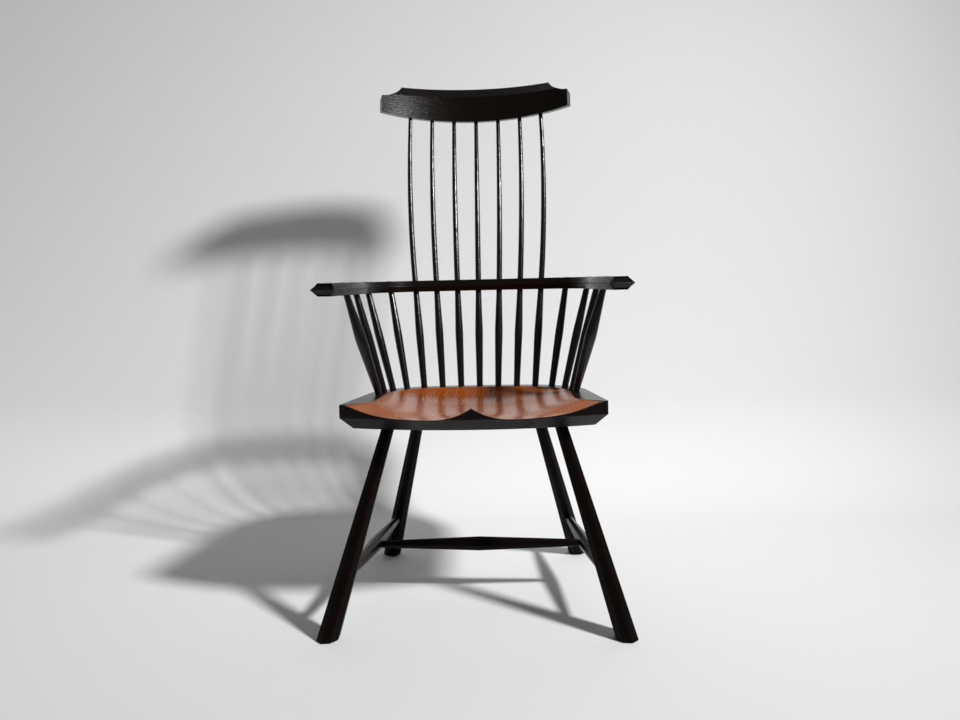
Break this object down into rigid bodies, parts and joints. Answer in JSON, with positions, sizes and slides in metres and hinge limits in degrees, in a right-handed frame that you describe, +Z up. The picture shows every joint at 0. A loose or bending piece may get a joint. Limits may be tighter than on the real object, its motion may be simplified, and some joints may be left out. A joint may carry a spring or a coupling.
{
  "type": "comb-back armchair",
  "caption": "Comb-back stick armchair: saddled plank seat on splayed octagonal legs with stretchers, a bent arm rail on sticks and a curved comb board on tall back sticks.",
  "frame": {"origin": "on the floor, in the middle of the chair's bounding box", "axes": "+Z up, -Y the way the sitter faces, +X to the sitter's left"},
  "size_m": [0.6328, 0.5975, 1.1269],
  "materials": {
    "ebonised_wood": "black stain with a satin sheen",
    "saddle_wood": "oiled brown wood in the saddle, black on the deck and edges"
  },
  "bodies": {
    "root": {"seat": "saddle_wood", "leg_front_left": "ebonised_wood", "leg_front_right": "ebonised_wood", "leg_rear_left": "ebonised_wood", "leg_rear_right": "ebonised_wood", "side_stretcher_left": "ebonised_wood", "side_stretcher_right": "ebonised_wood", "medial_stretcher": "ebonised_wood", "back_stick_1": "ebonised_wood", "back_stick_2": "ebonised_wood", "back_stick_3": "ebonised_wood", "back_stick_4": "ebonised_wood", "back_stick_5": "ebonised_wood", "back_stick_6": "ebonised_wood", "back_stick_7": "ebonised_wood", "arm_stick_left_1": "ebonised_wood", "arm_stick_left_2": "ebonised_wood", "arm_stick_left_3": "ebonised_wood", "arm_stick_left_4": "ebonised_wood", "arm_stick_right_1": "ebonised_wood", "arm_stick_right_2": "ebonised_wood", "arm_stick_right_3": "ebonised_wood", "arm_stick_right_4": "ebonised_wood", "arm_bow": "ebonised_wood", "arm_wedges": "ebonised_wood", "comb": "ebonised_wood", "comb_pegs": "ebonised_wood"}
  },
  "joints": []
}
